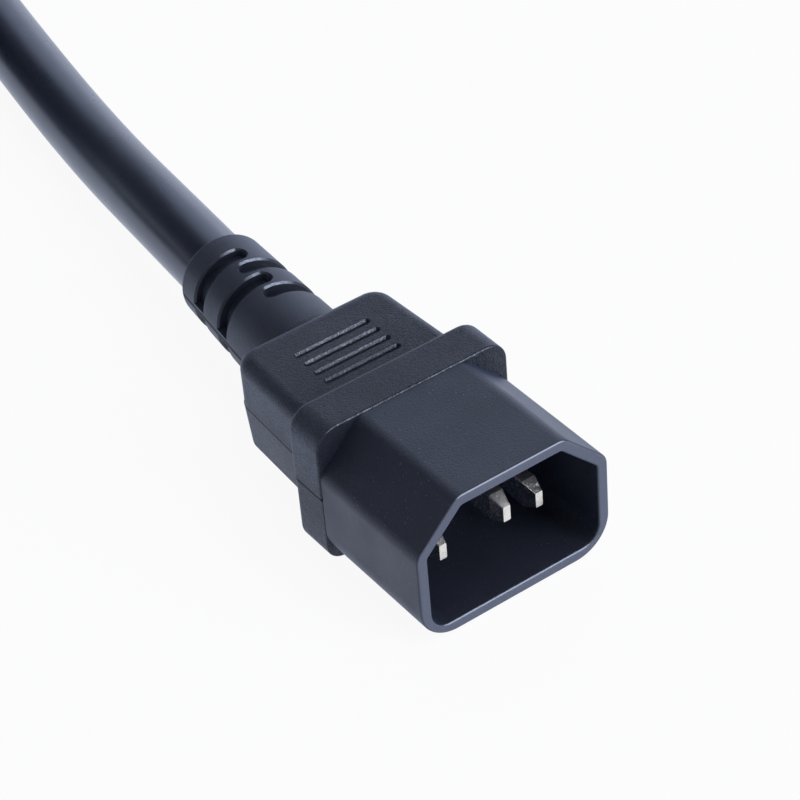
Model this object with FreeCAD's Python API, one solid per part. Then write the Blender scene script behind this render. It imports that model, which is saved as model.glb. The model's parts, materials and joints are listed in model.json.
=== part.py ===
"""Short power adapter cable, in millimetres.

A moulded male plug with the three flat blades of the ten-amp appliance coupler, 9.8 mm round cable,
a neat coil held by a tie, and the mating female connector at the far end.
+Z is up, X is the plug's width and +Y runs from its mouth towards the cable. The origin is under the
middle of the plug, on the surface that everything lies on. Each moulded end is drawn in a frame of its
own, with the centre of its mouth at zero and the mouth facing -Y, and is then put in its place.
"""
import FreeCAD, Part
import math
import os
from FreeCAD import Placement, Rotation, Vector

# The coupler's standard face
CAVITY_WIDTH = 24.4
CAVITY_HEIGHT = 16.4
CAVITY_DEPTH = 16.4
KEY_CHAMFER = 5.1
LOW_RADIUS = 2.6
KEY_RADIUS = 0.7
LEAST_RADIUS = 0.4
BLADE_PITCH = 14.0
BLADE_OFFSET = 2.0
BLADE_HEIGHT = 4.0
BLADE_THICKNESS = 2.0
LINE_SETBACK = 4.6
EARTH_SETBACK = 1.4
BLADE_TIP_HEIGHT = 2.2
BLADE_TIP_THICKNESS = 1.0
BLADE_TIP_LENGTH = 1.9
BLADE_RADIUS = 0.3

# The plug's shroud and the moulding behind it
SHROUD_WALL = 1.5
SHROUD_LOW_RADIUS = 5.0
LIP_RADIUS = 0.3
FLANGE_FRONT = 18.9
FLANGE_DEPTH = 6.1
FLANGE_SIDE_LIP = 0.15
FLANGE_TOP_LIP = 0.2
FLANGE_RADIUS = 3.0
FLANGE_LOW_RADIUS = 2.4
FLANGE_REAR_FILLET = 0.9
FLANGE_FRONT_FILLET = 0.3
BOSS_INSET = 2.2
BOSS_DEPTH = 4.6
BODY_LENGTH = 16.4
BODY_HEIGHT = 14.4
BODY_FRONT_WIDTH = 23.6
BODY_REAR_WIDTH = 21.9
BODY_CORNER_RADIUS = 2.9
BODY_LOW_CORNER_RADIUS = 2.3
BODY_TOP_RADIUS = 1.9
BODY_LOW_RADIUS = 1.0
BODY_LOW_DRAFT_DEG = 5.0
PARTING_STEP = 0.12

# Grip grooves across the body
GRIP_COUNT = 4
GRIP_PITCH = 2.13
GRIP_LENGTH = 11.2
GRIP_WIDTH = 1.0
GRIP_FLOOR_WIDTH = 0.5
GRIP_DEPTH = 0.45
GRIP_REAR_GAP = 5.9

# Cable and its cores
CABLE_DIAMETER = 9.76
CORE_DIAMETER = 3.4
STRAND_DIAMETER = 1.9
CORE_LAY_RADIUS = 2.05
JACKET_START = 50.0
CORE_STRAIGHT = 35.5
CORE_GATHER = 46.5

# Strain relief
RELIEF_OUTER = 13.8
RELIEF_TIP_OUTER = 12.2
RELIEF_TIP = 64.7
RELIEF_TIP_FILLET = 0.35
FLARE_LENGTH = 2.6
FLARE_SIDE = 1.6
FLARE_SINK = 0.35
FLARE_ROOT = 1.0
FLARE_STATIONS = 5
RELIEF_WEB = 1.0
SEAM_DEG = 45.0
RELIEF_STATIONS = 7
RELIEF_SIDE_LEAN = 0.104
RELIEF_DROP_LEAN = 0.042
BEND_START = 39.0
BEND_END = 46.0
SLOT_COUNT = 4
SLOT_FIRST = 49.2
SLOT_PITCH = 3.43
SLOT_WIDTH = 2.3
SLOT_FLOOR = 0.3
SLOT_EDGE = 0.3
SLOT_TOP_DEG = -2.0

# Terminals behind the blades and contacts
BARREL_GAP = 1.0
BARREL_LENGTH = 5.5
BARREL_WALL = 0.55
SLEEVE_GAP = 1.2
SLEEVE_LENGTH = 2.4
SLEEVE_WALL = 0.45
STRAP_WIDTH = 1.8
STRAP_THICKNESS = 0.6
INNER_WALL = 0.75
INNER_TAIL_WIDTH = 9.0
INNER_TAIL_HEIGHT = 8.0
INNER_TAIL_LENGTH = 5.0
INNER_RADIUS = 1.5

# The female connector
NOSE_CLEARANCE = 0.25
NOSE_LENGTH = 17.4
NOSE_EDGE = 0.5
SLOT_CLEARANCE = 0.3
SLOT_MOUTH = 2.0
CONTACT_FREE = 0.1
CONTACT_WALL = 0.5
COLLAR_DEPTH = 8.0
COLLAR_FILLET = 1.2

# Route of the cable, from inside the plug to the coil
FIRST_RUN = 27.0
CABLE_RADIUS = CABLE_DIAMETER / 2
FLOOR_POINTS = [
    Vector(7.95, 75.0, CABLE_RADIUS),
    Vector(13.41, 110.5, CABLE_RADIUS),
]
COIL_ENTRY = (19.12, 145.0)
COIL_ENTRY_DEG = -9.4
COIL_EXIT_DEG = 188.0
COIL_RADIUS = 49.0
COIL_SIDE_ROOM = 0.5
COIL_HIGH_ROOM = 0.2
COIL_CORNER = 4.0
TIE_THICKNESS = 1.2
TIE_ANGLE_DEG = 14.0
TIE_PLACE_DEG = 95.0
TAIL_RUNS = [16.0, 26.0, 12.0]
TAIL_FIRST_DROP = 0.9
RUN_SHARE = 0.45

OUTER_WIDTH = CAVITY_WIDTH + 2 * SHROUD_WALL
OUTER_HEIGHT = CAVITY_HEIGHT + 2 * SHROUD_WALL
FLANGE_WIDTH = OUTER_WIDTH + 2 * FLANGE_SIDE_LIP
FLANGE_HEIGHT = OUTER_HEIGHT + 2 * FLANGE_TOP_LIP
FLANGE_REAR = FLANGE_FRONT + FLANGE_DEPTH
BOSS_REAR = FLANGE_FRONT + BOSS_DEPTH
BODY_REAR = FLANGE_REAR + BODY_LENGTH
BARREL_FRONT = BOSS_REAR + BARREL_GAP
BARREL_REAR = BARREL_FRONT + BARREL_LENGTH
SLEEVE_FRONT = BARREL_REAR + SLEEVE_GAP
SLEEVE_REAR = SLEEVE_FRONT + SLEEVE_LENGTH
SLEEVE_OUTER = CORE_DIAMETER + 2 * SLEEVE_WALL
INNER_WIDTH = BLADE_PITCH + SLEEVE_OUTER + 2 * INNER_WALL
INNER_HEIGHT = 2 * BLADE_OFFSET + SLEEVE_OUTER + 2 * INNER_WALL
INNER_MIDDLE = SLEEVE_REAR + INNER_WALL
AXIS_HEIGHT = FLANGE_HEIGHT / 2
RELIEF_TURN = math.atan(math.hypot(RELIEF_SIDE_LEAN, RELIEF_DROP_LEAN))
PLUG_LENGTH = RELIEF_TIP + RELIEF_TIP_OUTER / 2 * math.sin(RELIEF_TURN)

# Where each pole stands across the face, and where its core lies in the cable
POLES = {
    "line": (-BLADE_PITCH / 2, -BLADE_OFFSET, 210.0),
    "neutral": (BLADE_PITCH / 2, -BLADE_OFFSET, 330.0),
    "earth": (0.0, BLADE_OFFSET, 90.0),
}
ALONG = Vector(0, 1, 0)
UP = Vector(0, 0, 1)
NEAR = 1e-4


def outline(corners, y):
    """Closed wire at depth y; each corner is x, z and the radius that rounds it."""
    stretches = []
    for index, (x, z, radius) in enumerate(corners):
        corner = Vector(x, y, z)
        before = Vector(corners[index - 1][0], y, corners[index - 1][1])
        following = corners[(index + 1) % len(corners)]
        after = Vector(following[0], y, following[1])
        back = (before - corner).normalize()
        onward = (after - corner).normalize()
        half = back.getAngle(onward) / 2
        reach = radius / math.tan(half)
        middle = corner + (back + onward).normalize() * (radius / math.sin(half) - radius)
        stretches.append((corner + back * reach, middle, corner + onward * reach, radius))
    edges = []
    for index, (start, middle, end, radius) in enumerate(stretches):
        if radius > 0:
            edges.append(Part.Arc(start, middle, end).toShape())
        onward = stretches[(index + 1) % len(stretches)][0]
        if end.distanceToPoint(onward) > NEAR:
            edges.append(Part.makeLine(end, onward))
    return Part.Wire(edges)


def prism(corners, front, rear):
    """Straight solid with one outline from depth front to depth rear."""
    return Part.Face(outline(corners, front)).extrude(Vector(0, rear - front, 0))


def rectangle(width, height, radius, x=0.0, z=0.0):
    """Corners of a rounded rectangle round the point x, z."""
    right, top = width / 2, height / 2
    return [
        (x - right, z - top, radius),
        (x + right, z - top, radius),
        (x + right, z + top, radius),
        (x - right, z + top, radius),
    ]


def key_face(width, height, chamfer, low_radius, key_radius):
    """Corners of the coupler's face: a rectangle with its two top corners cut off."""
    right, top = width / 2, height / 2
    return [
        (-right, -top, low_radius),
        (right, -top, low_radius),
        (right, top - chamfer, key_radius),
        (right - chamfer, top, key_radius),
        (-right + chamfer, top, key_radius),
        (-right, top - chamfer, key_radius),
    ]


def grown_face(room):
    """The coupler's face made larger all round by room, with its chamfers' walls as thick."""
    chamfer = KEY_CHAMFER + room * (2 - math.sqrt(2))
    low_radius = LOW_RADIUS + room * (SHROUD_LOW_RADIUS - LOW_RADIUS) / SHROUD_WALL
    return key_face(
        CAVITY_WIDTH + 2 * room,
        CAVITY_HEIGHT + 2 * room,
        chamfer,
        max(low_radius, LEAST_RADIUS),
        max(KEY_RADIUS + room, LEAST_RADIUS),
    )


def edges_at(shape, y):
    """Edges of a solid that lie wholly at depth y."""
    return [
        edge
        for edge in shape.Edges
        if abs(edge.BoundBox.YMin - y) < NEAR and abs(edge.BoundBox.YMax - y) < NEAR
    ]


def rod(diameter, front, rear, x=0.0, z=0.0):
    """Round bar along Y."""
    return Part.makeCylinder(diameter / 2, rear - front, Vector(x, front, z), ALONG)


def round_path(points):
    """Straight runs joined by tangent arcs, with the arcs' radii."""
    edges, radii = [], []
    start = points[0]
    for before, corner, after in zip(points, points[1:], points[2:]):
        back = before - corner
        onward = after - corner
        reach = RUN_SHARE * min(back.Length, onward.Length)
        back.normalize()
        onward.normalize()
        half_turn = (math.pi - back.getAngle(onward)) / 2
        radius = reach / math.tan(half_turn)
        middle = corner + (back + onward).normalize() * (radius / math.cos(half_turn) - radius)
        arc_start = corner + back * reach
        arc_end = corner + onward * reach
        edges.append(Part.makeLine(start, arc_start))
        edges.append(Part.Arc(arc_start, middle, arc_end).toShape())
        radii.append(radius)
        start = arc_end
    edges.append(Part.makeLine(start, points[-1]))
    return Part.Wire(edges), radii


def tube(points, diameter):
    """Round solid along a path of runs and arcs."""
    path, radii = round_path(points)
    section = Part.Wire(Part.Circle(points[0], points[1] - points[0], diameter / 2).toShape())
    return path.makePipeShell([section], True, False), path, radii


def ring(curve):
    """Closed wire of a circle or an ellipse, which starts well off the parting line."""
    seam = math.radians(SEAM_DEG)
    return Part.Wire(curve.toShape(seam, seam + 2 * math.pi))


def lean_direction(side, drop):
    """Unit vector along the cable where it leans sideways and down by these slopes."""
    return Vector(side, 1.0, -drop).normalize()


def relief_point(y, side, drop):
    """Place and direction of a strain relief's axis: straight, then an arc, then straight."""
    slope = math.hypot(side, drop)
    if slope == 0 or y <= BEND_START:
        return Vector(0, y, 0), Vector(ALONG)
    sideways = Vector(side / slope, 0, -drop / slope)
    turn = math.atan(slope)
    radius = (BEND_END - BEND_START) / math.sin(turn)
    if y < BEND_END:
        angle = math.asin((y - BEND_START) / radius)
        place = Vector(0, y, 0) + sideways * (radius * (1 - math.cos(angle)))
        return place, ALONG * math.cos(angle) + sideways * math.sin(angle)
    offset = radius * (1 - math.cos(turn)) + (y - BEND_END) * slope
    return Vector(0, y, 0) + sideways * offset, lean_direction(side, drop)


def relief_sleeve(base, side, drop):
    """Tapered outer form of the strain relief, lofted through circles along its axis."""
    rings = []
    for station in range(RELIEF_STATIONS):
        share = station / (RELIEF_STATIONS - 1)
        y = base + share * (RELIEF_TIP - base)
        centre, direction = relief_point(y, side, drop)
        rings.append(ring(Part.Circle(centre, direction, relief_radius(y, base))))
    sleeve = Part.makeLoft(rings, True, False)
    tip = max(sleeve.Edges, key=lambda edge: edge.BoundBox.Center.y)
    return sleeve.makeFillet(RELIEF_TIP_FILLET, [tip])


def slot_cutter(first_deg, last_deg, surface):
    """Cutter about +Z, angles from +X: round at its first end, cut square at the web, edges broken."""
    inner = CABLE_DIAMETER / 2 + SLOT_FLOOR
    outer = surface + SLOT_EDGE
    half = SLOT_WIDTH / 2
    wall = [
        Vector(outer, 0, half + 2 * SLOT_EDGE),
        Vector(surface - SLOT_EDGE, 0, half),
        Vector(inner, 0, half),
    ]
    other_wall = [Vector(point.x, 0, -point.z) for point in reversed(wall)]
    centre_line = [Vector(inner, 0, 0), Vector(outer, 0, 0)]
    across = Part.Face(Part.makePolygon(wall + other_wall + wall[:1]))
    low, sweep = min(first_deg, last_deg), abs(last_deg - first_deg)
    band = across.revolve(Vector(0, 0, 0), UP, sweep)
    band.rotate(Vector(0, 0, 0), UP, low)
    half_across = Part.Face(Part.makePolygon(wall + centre_line + wall[:1]))
    round_end = half_across.revolve(Vector(0, 0, 0), Vector(1, 0, 0), 180 if first_deg < last_deg else -180)
    round_end.rotate(Vector(0, 0, 0), UP, first_deg)
    web = Part.makeBox(
        RELIEF_WEB, 4 * outer, 4 * SLOT_WIDTH, Vector(-RELIEF_WEB / 2, -2 * outer, -2 * SLOT_WIDTH)
    )
    return band.fuse(round_end).cut(web)


def relief_radius(y, base):
    """Outer radius of the strain relief at depth y along its axis."""
    share = (y - base) / (RELIEF_TIP - base)
    return (RELIEF_OUTER + share * (RELIEF_TIP_OUTER - RELIEF_OUTER)) / 2


def relief_slots(base, side, drop):
    """The four rings of slots, on alternate sides and alike above and below the parting line."""
    upright = Rotation(UP, Vector(1, 0, 0), ALONG, "ZXY")
    cutters = []
    for ring in range(SLOT_COUNT):
        y = SLOT_FIRST + ring * SLOT_PITCH
        place, direction = relief_point(y, side, drop)
        turned = Rotation(ALONG, direction).multiply(upright)
        hand = 1 if ring % 2 == 0 else -1
        for first in (SLOT_TOP_DEG, 180 - SLOT_TOP_DEG):
            cutter = slot_cutter(hand * first, hand * 90, relief_radius(y, base))
            cutter.Placement = Placement(place, turned).multiply(cutter.Placement)
            cutters.append(cutter)
    return cutters


def flat_outline(corners, height):
    """Closed level wire at a height; each corner is x, y and the radius that rounds it."""
    wire = outline(corners, -height)
    wire.rotate(Vector(0, 0, 0), Vector(1, 0, 0), -90)
    return wire


def body_plan(front, rear, inset, corner_radius):
    """Corners of the gripped body seen from above, with its two sides moved in by inset."""
    front_half = BODY_FRONT_WIDTH / 2 - inset
    rear_half = BODY_REAR_WIDTH / 2 - inset
    return [
        (-front_half, front, 0.0),
        (front_half, front, 0.0),
        (rear_half, rear, corner_radius),
        (-rear_half, rear, corner_radius),
    ]


def rim_edges(shape, height, front):
    """Edges of the gripped body at a height, apart from its front one."""
    return [
        edge
        for edge in shape.Edges
        if abs(edge.BoundBox.ZMin - height) < NEAR
        and abs(edge.BoundBox.ZMax - height) < NEAR
        and edge.BoundBox.YMax > front + NEAR
    ]


def grip_cutter(y, surface, outwards):
    """Groove with round ends and sloping walls, sunk into a level surface."""
    slope = (GRIP_WIDTH - GRIP_FLOOR_WIDTH) / GRIP_DEPTH
    sections = []
    for height, width in (
        (surface - outwards * GRIP_DEPTH, GRIP_FLOOR_WIDTH),
        (surface + outwards * GRIP_DEPTH, GRIP_WIDTH + slope * GRIP_DEPTH),
    ):
        length = GRIP_LENGTH - GRIP_WIDTH + width
        sections.append(flat_outline(rectangle(length, width, width / 2, 0.0, y), height))
    return Part.makeLoft(sections, True, True)


def gripped_body(front, rear):
    """Body in two halves that meet at the parting line, with grip grooves above and below."""
    half = BODY_HEIGHT / 2
    upper_plan = body_plan(front, rear, 0.0, BODY_CORNER_RADIUS)
    upper = Part.Face(flat_outline(upper_plan, 0.0)).extrude(UP * half)
    upper = upper.makeFillet(BODY_TOP_RADIUS, rim_edges(upper, half, front))
    low_inset = PARTING_STEP + half * math.tan(math.radians(BODY_LOW_DRAFT_DEG))
    sections = [
        flat_outline(body_plan(front, rear, PARTING_STEP, BODY_LOW_CORNER_RADIUS), 0.0),
        flat_outline(body_plan(front, rear, low_inset, BODY_LOW_CORNER_RADIUS), -half),
    ]
    lower = Part.makeLoft(sections, True, True)
    lower = lower.makeFillet(BODY_LOW_RADIUS, rim_edges(lower, -half, front))
    body = upper.fuse(lower)
    grooves = []
    for groove in range(GRIP_COUNT):
        y = rear - GRIP_REAR_GAP - groove * GRIP_PITCH
        grooves += [grip_cutter(y, half, 1), grip_cutter(y, -half, -1)]
    return body.cut(grooves)


def relief_flare(radius):
    """Root of a strain relief of this radius, which widens sideways into the body's rear face."""
    rings = []
    for station in range(FLARE_STATIONS):
        share = station / (FLARE_STATIONS - 1)
        y = BODY_REAR + share * FLARE_LENGTH
        half_width = radius + FLARE_SIDE * (1 - share) ** 3
        rings.append(ring(Part.Ellipse(Vector(half_width, y, 0), Vector(0, y, radius), Vector(0, y, 0))))
    root = Part.Face(rings[0]).extrude(Vector(0, -FLARE_ROOT, 0))
    return Part.makeLoft(rings, True, False).fuse(root)


def core_points(pole, jacket_centre):
    """Route of one core, from its terminal to the end of the cable's jacket."""
    x, z, lay_deg = POLES[pole]
    lay = math.radians(lay_deg)
    rear_x = jacket_centre.x + CORE_LAY_RADIUS * math.cos(lay)
    rear_z = jacket_centre.z + CORE_LAY_RADIUS * math.sin(lay)
    return [
        Vector(x, BARREL_FRONT, z),
        Vector(x, CORE_STRAIGHT, z),
        Vector(rear_x, CORE_GATHER, rear_z),
        Vector(rear_x, jacket_centre.y + CORE_DIAMETER / 2, rear_z),
    ]


def terminal(x, z):
    """Crimp of one pole: a barrel on the strands, a sleeve on the insulation, a strap between."""
    barrel_outer = STRAND_DIAMETER + 2 * BARREL_WALL
    barrel = rod(barrel_outer, BOSS_REAR, BARREL_REAR, x, z)
    sleeve = rod(SLEEVE_OUTER, SLEEVE_FRONT, SLEEVE_REAR, x, z)
    strap = Part.makeBox(
        STRAP_WIDTH,
        SLEEVE_REAR - BARREL_FRONT,
        STRAP_THICKNESS + (SLEEVE_OUTER - barrel_outer) / 2,
        Vector(x - STRAP_WIDTH / 2, BARREL_FRONT, z - SLEEVE_OUTER / 2),
    )
    return barrel.fuse([sleeve, strap])


def blade_bar(pole):
    """Flat part of a blade, from its tapered tip to the back of the boss that holds it."""
    x, z, _ = POLES[pole]
    front = EARTH_SETBACK if pole == "earth" else LINE_SETBACK
    full = front + BLADE_TIP_LENGTH
    tip_radius = BLADE_RADIUS * BLADE_TIP_THICKNESS / BLADE_THICKNESS
    small = rectangle(BLADE_TIP_THICKNESS, BLADE_TIP_HEIGHT, tip_radius, x, z)
    large = rectangle(BLADE_THICKNESS, BLADE_HEIGHT, BLADE_RADIUS, x, z)
    tip = Part.makeLoft([outline(small, front), outline(large, full)], True, True)
    return tip.fuse(prism(large, full, BOSS_REAR))


def blade(pole):
    """Flat blade with its crimp behind the shroud's boss."""
    x, z, _ = POLES[pole]
    return blade_bar(pole).fuse(terminal(x, z)).removeSplitter()


def contact_form(pole):
    """Outer form of a sprung socket, which is also its pocket in the insert."""
    x, z, _ = POLES[pole]
    room = 2 * (CONTACT_FREE + CONTACT_WALL)
    return prism(rectangle(BLADE_THICKNESS + room, BLADE_HEIGHT + room, 0.0, x, z), SLOT_MOUTH, BOSS_REAR)


def contact(pole):
    """Sprung socket, open at its front, with its crimp behind the insert's boss."""
    x, z, _ = POLES[pole]
    room = 2 * CONTACT_FREE
    hollow = prism(
        rectangle(BLADE_THICKNESS + room, BLADE_HEIGHT + room, 0.0, x, z), SLOT_MOUTH, BOSS_REAR - CONTACT_WALL
    )
    return contact_form(pole).cut(hollow).fuse(terminal(x, z)).removeSplitter()


def boss():
    """Smaller block behind the face, which the soft moulding grips."""
    return prism(grown_face(SHROUD_WALL - BOSS_INSET), FLANGE_FRONT, BOSS_REAR)


def shroud():
    """Hard collar with its floor and the boss behind it, round the three blades."""
    collar = prism(grown_face(SHROUD_WALL), 0.0, FLANGE_FRONT)
    collar = collar.cut(prism(grown_face(0.0), 0.0, CAVITY_DEPTH))
    collar = collar.makeFillet(LIP_RADIUS, edges_at(collar, 0.0))
    return collar.fuse(boss()).removeSplitter().cut([blade_bar(pole) for pole in POLES])


def insert():
    """Hard nose with three slots, and the pockets that hold the contacts."""
    nose = prism(grown_face(-NOSE_CLEARANCE), 0.0, FLANGE_FRONT)
    nose = nose.makeFillet(NOSE_EDGE, edges_at(nose, 0.0))
    nose = nose.fuse(boss()).removeSplitter()
    room = 2 * SLOT_CLEARANCE
    for pole, (x, z, _) in POLES.items():
        mouth = prism(rectangle(BLADE_THICKNESS + room, BLADE_HEIGHT + room, 0.0, x, z), 0.0, SLOT_MOUTH)
        nose = nose.cut([mouth, contact_form(pole)])
    return nose


def inner_block():
    """First moulding round the crimps, before anything is taken out of it."""
    rear = INNER_MIDDLE + INNER_TAIL_LENGTH
    wide = rectangle(INNER_WIDTH, INNER_HEIGHT, INNER_RADIUS)
    narrow = rectangle(INNER_TAIL_WIDTH, INNER_TAIL_HEIGHT, INNER_RADIUS)
    taper = Part.makeLoft([outline(wide, INNER_MIDDLE), outline(narrow, rear)], True, True)
    return prism(wide, BOSS_REAR, INNER_MIDDLE).fuse(taper).removeSplitter()


def parted(upper_form, lower_form):
    """Upper half of one form on the lower half of another, met at the parting line."""
    reach = 2 * RELIEF_TIP
    above = Part.makeBox(2 * reach, 2 * reach, reach, Vector(-reach, -reach, 0))
    return upper_form.common(above).fuse(lower_form.cut(above))


def flange_half(inset):
    """Flange block with softened rims, its two sides moved in by inset."""
    corners = [
        (x, z, FLANGE_LOW_RADIUS if z < 0 else FLANGE_RADIUS)
        for x, z, _ in rectangle(FLANGE_WIDTH - 2 * inset, FLANGE_HEIGHT, FLANGE_RADIUS)
    ]
    block = prism(corners, FLANGE_FRONT, FLANGE_REAR)
    block = block.makeFillet(FLANGE_REAR_FILLET, edges_at(block, FLANGE_REAR))
    return block.makeFillet(FLANGE_FRONT_FILLET, edges_at(block, FLANGE_FRONT))


def relief(side, drop):
    """Slotted strain relief with the flare at its root."""
    base = BODY_REAR - BODY_CORNER_RADIUS
    sleeve = relief_sleeve(base, side, drop).cut(relief_slots(base, side, drop))
    end_radius = relief_radius(BODY_REAR + FLARE_LENGTH, base)
    return sleeve.fuse(relief_flare(end_radius - FLARE_SINK))


def plug_shell():
    """Outer form of the plug's soft moulding: flange, gripped body and relief."""
    flange = parted(flange_half(0.0), flange_half(PARTING_STEP))
    body = gripped_body(FLANGE_REAR - FLANGE_REAR_FILLET, BODY_REAR)
    return flange.fuse([body, relief(RELIEF_SIDE_LEAN, RELIEF_DROP_LEAN)])


def connector_shell():
    """Outer form of the connector's soft moulding: collar, gripped body and straight relief."""
    collar_front = NOSE_LENGTH
    collar_rear = collar_front + COLLAR_DEPTH
    collar = prism(grown_face(SHROUD_WALL + FLANGE_SIDE_LIP), collar_front, collar_rear)
    collar = collar.makeFillet(FLANGE_FRONT_FILLET, edges_at(collar, collar_front))
    collar = collar.makeFillet(COLLAR_FILLET, edges_at(collar, collar_rear))
    body = gripped_body(collar_rear - COLLAR_FILLET, BODY_REAR)
    return collar.fuse([body, relief(0.0, 0.0)])


def moulded_end(prefix, shell, metal_name, make_metal, hard_name, make_hard, jacket, jacket_centre):
    """All pieces of one moulded end, in its own frame."""
    pieces = {hard_name: make_hard()}
    inside = [jacket]
    for pole in POLES:
        points = core_points(pole, jacket_centre)
        strands = tube(points, STRAND_DIAMETER)[0].cut(jacket)
        sleeve_points = [Vector(points[0].x, BARREL_REAR, points[0].z)] + points[1:]
        core = tube(sleeve_points, CORE_DIAMETER)[0].cut([jacket, strands])
        metal = make_metal(pole).cut([strands, core])
        pieces[f"{prefix}_{pole}_strands"] = strands
        pieces[f"{prefix}_{pole}_core"] = core
        pieces[f"{pole}_{metal_name}"] = metal
        inside += [strands, core, metal]
    block = inner_block()
    pieces[f"{prefix}_inner_mould"] = block.cut(inside)
    hard_form = prism(grown_face(-NOSE_CLEARANCE), 0.0, FLANGE_FRONT).fuse(boss())
    pieces[f"{prefix}_overmould"] = shell.cut([hard_form, block] + inside)
    return pieces


def coil_turn(grow, sweep_deg, centre):
    """Ring with the coil's rounded section, made larger by grow, over part of a turn."""
    side = CABLE_RADIUS + COIL_SIDE_ROOM + grow
    height = 2 * (CABLE_DIAMETER + COIL_HIGH_ROOM) + 2 * grow
    section = rectangle(
        2 * side, height, COIL_CORNER + grow, centre.x + COIL_RADIUS, TIE_THICKNESS - grow + height / 2
    )
    return Part.Face(outline(section, centre.y)).revolve(centre, UP, sweep_deg)


def on_coil(centre, angle_deg, height):
    """Point on the middle line of the coil's turns."""
    angle = math.radians(angle_deg)
    flat = Vector(math.cos(angle), math.sin(angle), 0) * COIL_RADIUS
    return Vector(centre.x, centre.y, 0) + flat + UP * height


def heading(angle_deg):
    """Direction of travel round the coil at an angle."""
    angle = math.radians(angle_deg)
    return Vector(-math.sin(angle), math.cos(angle), 0)


def placed(shape, placement):
    """Copy of a shape, moved from its own frame to the model's."""
    moved = shape.copy()
    moved.Placement = placement.multiply(moved.Placement)
    return moved


def main():
    low_level = TIE_THICKNESS + COIL_HIGH_ROOM + CABLE_RADIUS
    high_level = low_level + CABLE_DIAMETER
    entry = math.radians(COIL_ENTRY_DEG)
    centre = Vector(
        COIL_ENTRY[0] - COIL_RADIUS * math.cos(entry), COIL_ENTRY[1] - COIL_RADIUS * math.sin(entry), 0
    )

    plug_place = Placement(Vector(0, -PLUG_LENGTH / 2, AXIS_HEIGHT), Rotation())
    jacket_end, exit_direction = relief_point(JACKET_START, RELIEF_SIDE_LEAN, RELIEF_DROP_LEAN)
    start = plug_place.multVec(jacket_end)
    route = [start, start + exit_direction * FIRST_RUN] + FLOOR_POINTS + [Vector(*COIL_ENTRY, low_level)]
    cable, cable_path, cable_radii = tube(route, CABLE_DIAMETER)

    leave = heading(COIL_EXIT_DEG)
    exit_high = on_coil(centre, COIL_EXIT_DEG, high_level)
    first_low = exit_high + leave * TAIL_RUNS[0] - UP * TAIL_FIRST_DROP
    level = Vector(first_low.x, first_low.y, AXIS_HEIGHT) + leave * TAIL_RUNS[1]
    tail_end = level + leave * TAIL_RUNS[2]
    inside_end = RELIEF_TIP - JACKET_START
    tail_route = [exit_high, first_low, level, tail_end + leave * inside_end]
    tail, tail_path, tail_radii = tube(tail_route, CABLE_DIAMETER)

    turn = Rotation(UP, COIL_EXIT_DEG - 180)
    connector_place = Placement(tail_end + leave * RELIEF_TIP, turn)

    whole_coil = coil_turn(0.0, 360, centre)
    tie = coil_turn(TIE_THICKNESS, TIE_ANGLE_DEG, centre).cut(whole_coil)
    tie.rotate(centre, UP, TIE_PLACE_DEG)

    pieces = {}
    plug_jacket = placed(cable, plug_place.inverse())
    plug_parts = moulded_end(
        "plug", plug_shell(), "blade", blade, "plug_shroud", shroud, plug_jacket, jacket_end
    )
    for name, shape in plug_parts.items():
        pieces[name] = placed(shape, plug_place)
    tail_jacket = placed(tail, connector_place.inverse())
    connector_parts = moulded_end(
        "connector",
        connector_shell(),
        "contact",
        contact,
        "connector_insert",
        insert,
        tail_jacket,
        Vector(0, JACKET_START, 0),
    )
    for name, shape in connector_parts.items():
        pieces[name] = placed(shape, connector_place)
    pieces["cable"] = cable.cut(whole_coil)
    pieces["cable_tail"] = tail.cut(whole_coil)
    pieces["cable_coil"] = whole_coil
    pieces["coil_tie"] = tie

    for label, solid, path, radii in (
        ("cable", cable, cable_path, cable_radii),
        ("cable_tail", tail, tail_path, tail_radii),
    ):
        expected = math.pi * CABLE_RADIUS**2 * path.Length
        print(label, "radii", [round(radius, 1) for radius in radii], "length", round(path.Length, 1))
        print(label, "volume", round(solid.Volume, 1), "section times length", round(expected, 1))

    os.makedirs("parts", exist_ok=True)
    for name, shape in pieces.items():
        print(name, "solids", len(shape.Solids), "valid", shape.isValid(), "volume", round(shape.Volume, 1))
        shape.exportStep(f"parts/{name}.step")


main()
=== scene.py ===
"""Looks of the short power adapter cable: camera, studio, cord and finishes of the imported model."""
import json
import math

import bpy
from mathutils import Matrix, Vector

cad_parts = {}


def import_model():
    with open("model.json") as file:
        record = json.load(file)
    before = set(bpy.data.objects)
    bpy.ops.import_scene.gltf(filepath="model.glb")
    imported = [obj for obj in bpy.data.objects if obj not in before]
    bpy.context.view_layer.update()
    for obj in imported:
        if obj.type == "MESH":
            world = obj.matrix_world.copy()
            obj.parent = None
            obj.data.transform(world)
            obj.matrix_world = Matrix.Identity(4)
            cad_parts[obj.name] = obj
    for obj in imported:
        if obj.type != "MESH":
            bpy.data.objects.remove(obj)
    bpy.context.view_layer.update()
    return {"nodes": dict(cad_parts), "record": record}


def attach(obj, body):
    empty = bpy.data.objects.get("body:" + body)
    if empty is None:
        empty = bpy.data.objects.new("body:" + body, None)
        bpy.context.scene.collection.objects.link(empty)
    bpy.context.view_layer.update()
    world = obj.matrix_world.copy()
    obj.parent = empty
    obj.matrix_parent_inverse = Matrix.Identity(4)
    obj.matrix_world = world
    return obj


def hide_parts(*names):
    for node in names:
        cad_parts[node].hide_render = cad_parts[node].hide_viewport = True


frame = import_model()
nodes = frame["nodes"]

MM = 0.001
UP = Vector((0, 0, 1))

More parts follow.
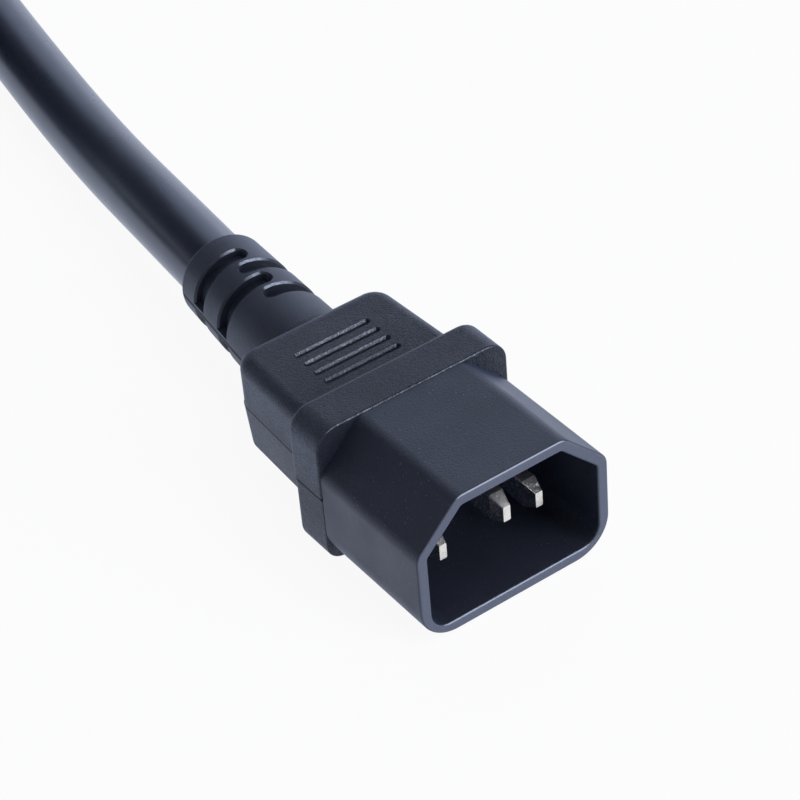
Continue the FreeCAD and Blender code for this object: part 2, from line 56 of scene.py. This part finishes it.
# Camera, solved on the coupler's standard sizes
CAMERA_PLACE = Vector((-0.138034, -0.225594, 0.223618))
CAMERA_AZIMUTH_DEG = -32.749
CAMERA_ELEVATION_DEG = 39.131
CAMERA_ROLL_DEG = -5.174
CAMERA_LENS = 125.629
SENSOR_WIDTH = 36.0

# Cable route, the same points as in the part's source
CABLE_DIAMETER = 9.76 * MM
CABLE_RADIUS = CABLE_DIAMETER / 2
ROUTE_START = Vector((0.777, 17.31, 9.586)) * MM
ROUTE_FIRST = Vector((3.568, 44.141, 8.459)) * MM
FLOOR_POINTS = [Vector((7.95, 75.0, 4.88)) * MM, Vector((13.41, 110.5, 4.88)) * MM]
COIL_ENTRY = Vector((19.12, 145.0, 0)) * MM
COIL_ENTRY_DEG = -9.4
COIL_EXIT_DEG = 188.0
COIL_RADIUS = 49.0 * MM
LOW_LEVEL = 6.28 * MM
HIGH_LEVEL = LOW_LEVEL + CABLE_DIAMETER
CLIMB_START_DEG = 100.0
CLIMB_END_DEG = 15.0
COIL_STEPS = 28
TAIL_RUNS = [16.0 * MM, 26.0 * MM, 26.7 * MM]
TAIL_FIRST_DROP = 0.9 * MM
AXIS_HEIGHT = 9.9 * MM

# Where each moulded end's relief begins, which way it points and how it falls
PLUG_REAR = Vector((0, 8.71, 9.9)) * MM
PLUG_ALONG = Vector((0, 1, 0))
PLUG_FALL = 0.042
CONNECTOR_NOSE = Vector((-61.225, 28.639, 9.9)) * MM
CONNECTOR_ALONG = Vector((-0.139173, 0.990268, 0))
BODY_END = 41.4 * MM

# How far the flange's front is from there, and the body's top from the axis
FLANGE_REACH = 18.5 * MM
BODY_TOP = 7.2 * MM

# Studio: the sky fades from the first height to the second, as the sine of its elevation
FLOOR_SIZE = 6.0
FLOOR_COLOUR = (0.88, 0.88, 0.88, 1)
FLOOR_GLOW = 0.93
SKY_LOW = (0.05, (1, 1, 1, 1))
SKY_HIGH = (0.26, (0.08, 0.085, 0.1, 1))

# Lamps: place, size, radiance, colour and where the first side points; all face one point
LIT_POINT = Vector((0, 0, 0.01))
LAMPS = {
    "front_box": ((0.43, -0.86, 0.34), (0.5, 0.6), 8.0, (0.95, 0.97, 1.0), (1, 0, 0)),
    "rear_box": ((0.58, 0.68, 0.55), (1.6, 0.56), 1.3, (0.93, 0.96, 1.0), (0.68, -0.1, -0.73)),
    "top_box": ((0.25, -0.4, 1.1), (0.7, 0.7), 3.0, (0.95, 0.97, 1.0), (1, 0, 0)),
}

# Colours of the finishes
MOULDING_COLOUR = (0.008, 0.0083, 0.011, 1)
SHROUD_COLOUR = (0.0135, 0.014, 0.019, 1)
JACKET_COLOUR = (0.008, 0.009, 0.0125, 1)
# Lip colour is painted light: the lip's front face made paler, as if lit from the front.
LIP_LIGHT_PAINT = (0.088, 0.091, 0.107, 1)
# Pale colour of the painted highlights on rounded edges.
EDGE_HIGHLIGHT_PAINT = (0.58, 0.59, 0.62, 1)
# Parting line colour is painted shade, the dark of its narrow groove.
SEAM_SHADE_PAINT = (0.002, 0.002, 0.003, 1)
# Pale colour of a painted reflection on the upper halves of the sides.
SIDE_REFLECTION_PAINT = (0.12, 0.128, 0.16, 1)
SHEEN_COLOUR = (0.4, 0.55, 1.0, 1)
GLOSS_TINT = (0.8, 0.85, 1.0, 1)
FILM_TINT = (0.8, 0.86, 1.0, 1)
FILM_IOR = 1.15
DUST_COLOUR = (0.16, 0.17, 0.19, 1)
TARNISH_COLOUR = (0.42, 0.4, 0.37, 1)
NICKEL_COLOUR = (0.76, 0.75, 0.74, 1)
TAPE_DARK = (0.012, 0.012, 0.014, 1)
TAPE_PALE = (0.035, 0.035, 0.04, 1)

# Grain and relief of the finishes
LEATHER_GRAIN = 0.4 * MM
SATIN_GRAIN = 0.12 * MM
MOULDING_DEPTH = 0.26 * MM
SHROUD_GRAIN = 0.24 * MM
SHROUD_DEPTH = 0.09 * MM
JACKET_GRAIN = 0.5 * MM
JACKET_DEPTH = 0.006 * MM
NICKEL_DEPTH = 0.014 * MM
TAPE_DEPTH = 0.18 * MM

# Half widths of the parting line, at its edge and where it is darkest
SEAM_EDGE = 0.32 * MM
SEAM_CORE = 0.19 * MM


def camera():
    """Camera of the photo."""
    data = bpy.data.cameras.new("camera")
    data.lens = CAMERA_LENS
    data.sensor_width = SENSOR_WIDTH
    data.clip_start = 0.01
    data.clip_end = 50
    cam = bpy.data.objects.new("camera", data)
    bpy.context.scene.collection.objects.link(cam)
    turn = (
        Matrix.Rotation(math.radians(CAMERA_AZIMUTH_DEG), 3, "Z")
        @ Matrix.Rotation(math.radians(90 - CAMERA_ELEVATION_DEG), 3, "X")
        @ Matrix.Rotation(math.radians(CAMERA_ROLL_DEG), 3, "Z")
    )
    cam.matrix_world = Matrix.Translation(CAMERA_PLACE) @ turn.to_4x4()
    bpy.context.scene.camera = cam


def coil_height(degrees_left):
    """Height of the cord's middle line, by how far the end of its first turn still is."""
    share = (CLIMB_START_DEG - degrees_left) / (CLIMB_START_DEG - CLIMB_END_DEG)
    share = min(1.0, max(0.0, share))
    smooth = share * share * (3 - 2 * share)
    return LOW_LEVEL + smooth * (HIGH_LEVEL - LOW_LEVEL)


def cord_points():
    """Control points of the cord: the route, the coil's turns and the tail to the connector."""
    entry = math.radians(COIL_ENTRY_DEG)
    centre = COIL_ENTRY - Vector((math.cos(entry), math.sin(entry), 0)) * COIL_RADIUS
    points = [ROUTE_START, ROUTE_FIRST] + FLOOR_POINTS
    whole = COIL_EXIT_DEG + 360 - COIL_ENTRY_DEG
    step = whole / COIL_STEPS
    reach = COIL_RADIUS / math.cos(math.radians(step / 2))
    for index in range(COIL_STEPS):
        gone = (index + 0.5) * step
        angle = math.radians(COIL_ENTRY_DEG + gone)
        height = coil_height(360 - gone)
        outwards = Vector((math.cos(angle), math.sin(angle), 0))
        points.append(centre + outwards * reach + Vector((0, 0, height)))
    leave = math.radians(COIL_EXIT_DEG)
    heading = Vector((-math.sin(leave), math.cos(leave), 0))
    outwards = Vector((math.cos(leave), math.sin(leave), 0))
    place = centre + outwards * COIL_RADIUS + Vector((0, 0, HIGH_LEVEL))
    first = place + heading * TAIL_RUNS[0] - Vector((0, 0, TAIL_FIRST_DROP))
    level = Vector((first.x, first.y, AXIS_HEIGHT)) + heading * TAIL_RUNS[1]
    return points + [first, level, level + heading * TAIL_RUNS[2]]


def cord():
    """Whole cable as one bevelled curve, in the place of the three solids that stand for it."""
    points = cord_points()
    data = bpy.data.curves.new("cable_cord", "CURVE")
    data.dimensions = "3D"
    spline = data.splines.new("NURBS")
    spline.points.add(len(points) - 1)
    for point, place in zip(spline.points, points):
        point.co = (*place, 1)
    spline.order_u = 3
    spline.use_endpoint_u = True
    spline.resolution_u = 16
    data.bevel_depth = CABLE_RADIUS
    data.bevel_resolution = 12
    data.use_fill_caps = True
    piece = bpy.data.objects.new("cable_cord", data)
    bpy.context.scene.collection.objects.link(piece)
    data.materials.append(jacket())
    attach(piece, "root")
    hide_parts("cable", "cable_coil", "cable_tail")
    return piece


class Finish:
    """Material under construction: a principled shader, and short calls that add nodes to it."""

    def __init__(self, name, roughness, metallic=0.0, specular=0.5, sheen=0.0):
        self.made = bpy.data.materials.new(name)
        self.made.use_nodes = True
        self.tree = self.made.node_tree
        self.shader = self.tree.nodes["Principled BSDF"]
        self.shader.inputs["Roughness"].default_value = roughness
        self.shader.inputs["Metallic"].default_value = metallic
        self.shader.inputs["Specular IOR Level"].default_value = specular
        if not metallic:
            self.shader.inputs["Specular Tint"].default_value = GLOSS_TINT
        if sheen:
            self.shader.inputs["Sheen Weight"].default_value = sheen
            self.shader.inputs["Sheen Roughness"].default_value = 0.4
            self.shader.inputs["Sheen Tint"].default_value = SHEEN_COLOUR
            self.shader.inputs["Coat Weight"].default_value = 1.0
            self.shader.inputs["Coat Roughness"].default_value = roughness
            self.shader.inputs["Coat IOR"].default_value = FILM_IOR
            self.shader.inputs["Coat Tint"].default_value = FILM_TINT
        self.place = self.tree.nodes.new("ShaderNodeTexCoord").outputs["Object"]

    def join(self, source, target):
        """Gives a socket its value, which is a number, a colour or another node's output."""
        if isinstance(source, bpy.types.NodeSocket):
            self.tree.links.new(source, target)
        else:
            target.default_value = source

    def noise(self, size, detail=2.0, roughness=0.5, distortion=0.0, stretch=(1, 1, 1)):
        """Noise whose grains are about this size in metres."""
        mapping = self.tree.nodes.new("ShaderNodeMapping")
        mapping.inputs["Scale"].default_value = stretch
        self.join(self.place, mapping.inputs["Vector"])
        node = self.tree.nodes.new("ShaderNodeTexNoise")
        self.join(mapping.outputs[0], node.inputs["Vector"])
        node.inputs["Scale"].default_value = 1 / size
        node.inputs["Detail"].default_value = detail
        node.inputs["Roughness"].default_value = roughness
        node.inputs["Distortion"].default_value = distortion
        return node.outputs["Fac"]

    def cells(self, size):
        """Distance to the nearest of many scattered points, about this size apart."""
        node = self.tree.nodes.new("ShaderNodeTexVoronoi")
        self.join(self.place, node.inputs["Vector"])
        node.inputs["Scale"].default_value = 1 / size
        return node.outputs["Distance"]

    def spread(self, source, low, high, out_low=0.0, out_high=1.0):
        """Source from low to high, mapped smoothly to the two outer values."""
        node = self.tree.nodes.new("ShaderNodeMapRange")
        node.interpolation_type = "SMOOTHSTEP"
        self.join(source, node.inputs["Value"])
        limits = {"From Min": low, "From Max": high, "To Min": out_low, "To Max": out_high}
        for name, value in limits.items():
            node.inputs[name].default_value = value
        return node.outputs["Result"]

    def math(self, operation, first, second):
        """Output of a math node on two numbers or outputs."""
        node = self.tree.nodes.new("ShaderNodeMath")
        node.operation = operation
        self.join(first, node.inputs[0])
        self.join(second, node.inputs[1])
        return node.outputs[0]

    def along(self, start, direction):
        """How far a point lies beyond start in a direction, in metres."""
        less = self.tree.nodes.new("ShaderNodeVectorMath")
        less.operation = "SUBTRACT"
        self.join(self.place, less.inputs[0])
        less.inputs[1].default_value = start
        dot = self.tree.nodes.new("ShaderNodeVectorMath")
        dot.operation = "DOT_PRODUCT"
        self.join(less.outputs[0], dot.inputs[0])
        dot.inputs[1].default_value = direction
        return dot.outputs["Value"]

    def facing(self, direction):
        """One where the surface faces a direction, and less as it turns away."""
        geometry = self.tree.nodes.new("ShaderNodeNewGeometry")
        dot = self.tree.nodes.new("ShaderNodeVectorMath")
        dot.operation = "DOT_PRODUCT"
        self.join(geometry.outputs["Normal"], dot.inputs[0])
        dot.inputs[1].default_value = direction
        return dot.outputs["Value"]

    def blend(self, share, first, second):
        """Mix of two colours, or of two outputs that carry colours."""
        node = self.tree.nodes.new("ShaderNodeMix")
        node.data_type = "RGBA"
        self.join(share, node.inputs[0])
        self.join(first, node.inputs[6])
        self.join(second, node.inputs[7])
        return node.outputs[2]

    def relief(self, height, depth):
        """Bumps the surface by a height from 0 to 1 that is depth metres tall."""
        node = self.tree.nodes.new("ShaderNodeBump")
        node.inputs["Distance"].default_value = depth
        self.join(height, node.inputs["Height"])
        self.join(node.outputs[0], self.shader.inputs["Normal"])


def dusted(finish, colour, size, share):
    """Colour with a few specks of dust, size apart, each this share of the space between them."""
    specks = finish.spread(finish.cells(size), share, share * 0.6)
    patches = finish.spread(finish.noise(6 * MM), 0.48, 0.62)
    return finish.blend(finish.math("MULTIPLY", specks, patches), colour, DUST_COLOUR)


def painted_edge_highlight(finish, colour, direction, share, low=0.94, high=0.99):
    """Colour with a painted highlight: a paler line where a rounded edge faces a direction."""
    edge = finish.spread(finish.facing(direction), low, high)
    return finish.blend(finish.math("MULTIPLY", edge, share), colour, EDGE_HIGHLIGHT_PAINT)


def seam(finish, level, behind, fall):
    """One on the line where the mould's halves met, which falls with the relief behind the body."""
    drop = finish.math("MULTIPLY", finish.math("MAXIMUM", behind, 0.0), fall)
    off = finish.math("ABSOLUTE", finish.math("ADD", level, drop), 0.0)
    return finish.spread(off, SEAM_EDGE, SEAM_CORE)


def painted_side_reflection(finish, direction, level, speckle):
    """Share of the painted reflection, pale and speckled, on the upper halves of the sides."""
    across = finish.math("ABSOLUTE", finish.facing(direction.cross(UP)), 0.0)
    side = finish.spread(across, 0.75, 0.95)
    reflection_share = finish.math("MULTIPLY", side, finish.spread(level, -1 * MM, 4 * MM))
    return finish.math("MULTIPLY", reflection_share, finish.spread(speckle, 0.4, 0.6, 0.1, 0.9))


def painted_front_highlights(finish, colour, direction, behind, level, skin, leather):
    """Colour with painted highlights: pale lines on the front edges of flange, grooves and slots,
    fainter behind.
    """
    highlight_reach = finish.spread(behind, -FLANGE_REACH, -FLANGE_REACH + 2 * MM, 0.4, 0.95)
    front_highlight = finish.math("MULTIPLY", highlight_reach, finish.spread(leather, 0.0, 1.0, 0.55, 1.0))
    near_top = finish.spread(level, BODY_TOP - 0.42 * MM, BODY_TOP - 0.2 * MM)
    crest = finish.math("MAXIMUM", skin, near_top)
    front_highlight = finish.math("MULTIPLY", front_highlight, crest)
    # Faint painted highlight on the body's rear top edge.
    back = finish.math("MULTIPLY", finish.math("SUBTRACT", crest, skin), 0.09)
    colour = painted_edge_highlight(finish, colour, UP * 0.82 + direction * 0.57, back, 0.9, 0.98)
    return painted_edge_highlight(finish, colour, UP * 0.6 - direction * 0.8, front_highlight)


def moulding(name, rear, direction, fall=0.0):
    """Soft PVC: leather grain on the body with its grips, a finer satin skin on the strain relief,
    and painted shade, reflection and edge highlights.
    """
    finish = Finish(name, 0.5, specular=0.7, sheen=0.2)
    behind = finish.along(rear, direction)
    skin = finish.spread(behind, -0.6 * MM, 0.6 * MM)
    leather = finish.spread(finish.noise(LEATHER_GRAIN, 2, 0.5, 1.2), 0.42, 0.58)
    satin = finish.noise(SATIN_GRAIN, 3)
    kept = finish.math("MULTIPLY", leather, finish.math("SUBTRACT", 1.0, skin))
    grain = finish.math("ADD", kept, finish.math("MULTIPLY", satin, 0.35))
    level = finish.along((0, 0, AXIS_HEIGHT), UP)
    line = seam(finish, level, behind, fall)
    height = finish.math("SUBTRACT", grain, finish.math("MULTIPLY", line, 2.0))
    finish.relief(height, MOULDING_DEPTH)
    worn = finish.spread(finish.noise(9 * MM, 4), 0.3, 0.7, 0.42, 0.54)
    finish.join(finish.math("MAXIMUM", worn, line), finish.shader.inputs["Roughness"])
    # Metallic one with a black colour takes the parting line's reflection away: painted shade.
    finish.join(line, finish.shader.inputs["Metallic"])
    # Upper halves of the sides painted paler: a painted reflection.
    reflection_share = painted_side_reflection(finish, direction, level, satin)
    colour = finish.blend(reflection_share, dusted(finish, MOULDING_COLOUR, 1.1 * MM, 0.045), SIDE_REFLECTION_PAINT)
    # Painted highlights on the front edges of flange, grooves and slots.
    colour = painted_front_highlights(finish, colour, direction, behind, level, skin, leather)
    # The parting line's groove is bumped; its dark colour is painted shade.
    finish.join(finish.blend(line, colour, SEAM_SHADE_PAINT), finish.shader.inputs["Base Color"])
    return finish.made


def shroud():
    """Hard plastic with a fine even grain, scattered dust, a lip face painted paler as painted light
    from the front, and painted highlights on the lip's edges.
    """
    finish = Finish("shroud_plastic", 0.5, specular=0.8, sheen=0.1)
    height = finish.noise(SHROUD_GRAIN, 3, 0.7)
    finish.relief(height, SHROUD_DEPTH)
    worn = finish.spread(finish.noise(7 * MM, 4), 0.3, 0.7, 0.46, 0.55)
    finish.join(worn, finish.shader.inputs["Roughness"])
    # Faces turned to the front get the paler lip colour: painted light.
    face = finish.spread(finish.facing((0, -1, 0)), 0.5, 0.95)
    skin = finish.blend(face, dusted(finish, SHROUD_COLOUR, 0.65 * MM, 0.13), LIP_LIGHT_PAINT)
    # Painted highlight along the lip's rounded edges.
    skin = painted_edge_highlight(finish, skin, (0, -0.71, 0.71), 0.7)
    finish.join(skin, finish.shader.inputs["Base Color"])
    return finish.made


def jacket():
    """Smooth satin jacket with faint marks from the extruder."""
    finish = Finish("jacket_pvc", 0.3, specular=0.93, sheen=0.14)
    height = finish.noise(JACKET_GRAIN, 3, 0.5, 0.2, (1, 0.25, 1))
    finish.relief(height, JACKET_DEPTH)
    worn = finish.spread(finish.noise(5 * MM, 4), 0.3, 0.7, 0.27, 0.32)
    finish.join(worn, finish.shader.inputs["Roughness"])
    finish.join(dusted(finish, JACKET_COLOUR, 2.2 * MM, 0.02), finish.shader.inputs["Base Color"])
    return finish.made


def nickel():
    """Bright plate over drawn brass: smooth on the tip, and scratched on the faces that slide."""
    finish = Finish("nickel_plate", 0.22, metallic=1.0)
    lines = finish.noise(0.09 * MM, 3, 0.6, 0.0, (1, 0.12, 1))
    pits = finish.spread(finish.noise(0.28 * MM, 4, 0.6, 0.6), 0.42, 0.6)
    sliding = finish.spread(finish.facing((0, 0, 1)), 0.1, 0.6, 0.1, 1.0)
    scratches = finish.math("MULTIPLY", finish.math("ADD", lines, pits), sliding)
    finish.relief(scratches, NICKEL_DEPTH)
    dull = finish.spread(finish.noise(0.5 * MM, 3), 0.4, 0.65, 0.14, 0.26)
    duller = finish.math("ADD", dull, finish.math("MULTIPLY", sliding, 0.16))
    finish.join(duller, finish.shader.inputs["Roughness"])
    tarnish = finish.spread(finish.noise(0.8 * MM, 3), 0.45, 0.8, 0.0, 0.3)
    plate = finish.blend(tarnish, NICKEL_COLOUR, TARNISH_COLOUR)
    finish.join(plate, finish.shader.inputs["Base Color"])
    return finish.made


def tie_tape():
    """Black hook-and-loop tape: fuzzy loops over a coarse weave."""
    finish = Finish("tie_fabric", 0.85)
    height = finish.math("ADD", finish.cells(0.5 * MM), finish.noise(0.2 * MM, 4, 0.7))
    finish.relief(height, TAPE_DEPTH)
    finish.shader.inputs["Sheen Weight"].default_value = 0.35
    finish.shader.inputs["Sheen Roughness"].default_value = 0.5
    shade = finish.blend(finish.noise(0.6 * MM, 3), TAPE_DARK, TAPE_PALE)
    finish.join(shade, finish.shader.inputs["Base Color"])
    return finish.made


def inner(name, colour, roughness=0.5, metallic=0.0):
    """Plain finish of a piece that the mouldings hide, with a little change of shade."""
    finish = Finish(name, roughness, metallic)
    darker = tuple(0.8 * value for value in colour[:3]) + (1,)
    shade = finish.blend(finish.noise(1.5 * MM, 3), colour, darker)
    finish.join(shade, finish.shader.inputs["Base Color"])
    finish.relief(finish.noise(0.2 * MM, 2), 0.01 * MM)
    return finish.made


def dress():
    """Gives every CAD node the finish of its material slot."""
    finishes = {
        "shroud_plastic": shroud(),
        "nickel_plate": nickel(),
        "tie_fabric": tie_tape(),
        "inner_plastic": inner("inner_plastic", (0.05, 0.05, 0.055, 1)),
        "copper_strand": inner("copper_strand", (0.7, 0.35, 0.2, 1), 0.35, 1.0),
        "line_insulation": inner("line_insulation", (0.16, 0.07, 0.035, 1)),
        "neutral_insulation": inner("neutral_insulation", (0.03, 0.12, 0.42, 1)),
        "earth_insulation": inner("earth_insulation", (0.25, 0.45, 0.08, 1)),
    }
    ends = {
        "plug_overmould": moulding("plug_moulding", PLUG_REAR, PLUG_ALONG, PLUG_FALL),
        "connector_overmould": moulding(
            "connector_moulding", CONNECTOR_NOSE + CONNECTOR_ALONG * BODY_END, CONNECTOR_ALONG
        ),
    }
    for part in frame["record"]["subparts"]:
        made = ends.get(part["node"]) or finishes.get(part["material_slot"])
        if made:
            for slot in nodes[part["node"]].material_slots:
                slot.material = made


def seen_white(tree, lit, seen):
    """Mix of two shaders: lit for bounced light, seen for camera, glossy and transmission rays."""
    paths = tree.nodes.new("ShaderNodeLightPath")
    share = paths.outputs["Is Camera Ray"]
    for name in ("Is Glossy Ray", "Is Transmission Ray"):
        more = tree.nodes.new("ShaderNodeMath")
        more.operation = "MAXIMUM"
        tree.links.new(share, more.inputs[0])
        tree.links.new(paths.outputs[name], more.inputs[1])
        share = more.outputs[0]
    mix = tree.nodes.new("ShaderNodeMixShader")
    tree.links.new(share, mix.inputs[0])
    tree.links.new(lit, mix.inputs[1])
    tree.links.new(seen, mix.inputs[2])
    return mix.outputs[0]


def world():
    """Pale at the horizon and grey overhead, as a light tent is; the same for every ray."""
    made = bpy.data.worlds.new("studio")
    bpy.context.scene.world = made
    made.use_nodes = True
    tree = made.node_tree
    place = tree.nodes.new("ShaderNodeTexCoord")
    split = tree.nodes.new("ShaderNodeSeparateXYZ")
    ramp = tree.nodes.new("ShaderNodeValToRGB")
    for stop, (position, colour) in zip(ramp.color_ramp.elements, (SKY_LOW, SKY_HIGH)):
        stop.position = position
        stop.color = colour
    tree.links.new(place.outputs["Generated"], split.inputs[0])
    tree.links.new(split.outputs["Z"], ramp.inputs[0])
    tree.links.new(ramp.outputs[0], tree.nodes["Background"].inputs["Color"])


def floor():
    """Wide pale floor that shows white in the picture and in reflections, and keeps a shadow."""
    bpy.ops.mesh.primitive_plane_add(size=FLOOR_SIZE, location=(0, 0, 0))
    piece = bpy.context.object
    piece.name = "floor"
    made = bpy.data.materials.new("floor")
    made.use_nodes = True
    tree = made.node_tree
    tree.nodes.clear()
    output = tree.nodes.new("ShaderNodeOutputMaterial")
    body = tree.nodes.new("ShaderNodeBsdfDiffuse")
    body.inputs["Color"].default_value = FLOOR_COLOUR
    glow = tree.nodes.new("ShaderNodeEmission")
    glowing = tree.nodes.new("ShaderNodeMixShader")
    glowing.inputs[0].default_value = FLOOR_GLOW
    tree.links.new(body.outputs[0], glowing.inputs[1])
    tree.links.new(glow.outputs[0], glowing.inputs[2])
    seen = seen_white(tree, body.outputs[0], glowing.outputs[0])
    tree.links.new(seen, output.inputs[0])
    piece.data.materials.append(made)


def area_light(name, place, size, radiance, colour, across):
    """Rectangular lamp of a given radiance that faces the plug, its first side turned across."""
    data = bpy.data.lights.new(name, "AREA")
    data.shape = "RECTANGLE"
    data.size, data.size_y = size
    data.energy = radiance * math.pi * size[0] * size[1]
    data.color = colour
    lamp = bpy.data.objects.new(name, data)
    bpy.context.scene.collection.objects.link(lamp)
    back = (Vector(place) - LIT_POINT).normalized()
    side = Vector(across) - back * back.dot(Vector(across))
    side.normalize()
    turn = Matrix((side, back.cross(side), back)).transposed()
    lamp.matrix_world = Matrix.Translation(place) @ turn.to_4x4()


camera()
world()
floor()
cord()
dress()
for lamp_name, lamp_values in LAMPS.items():
    area_light(lamp_name, *lamp_values)

scene = bpy.context.scene
scene.view_settings.view_transform = "Standard"
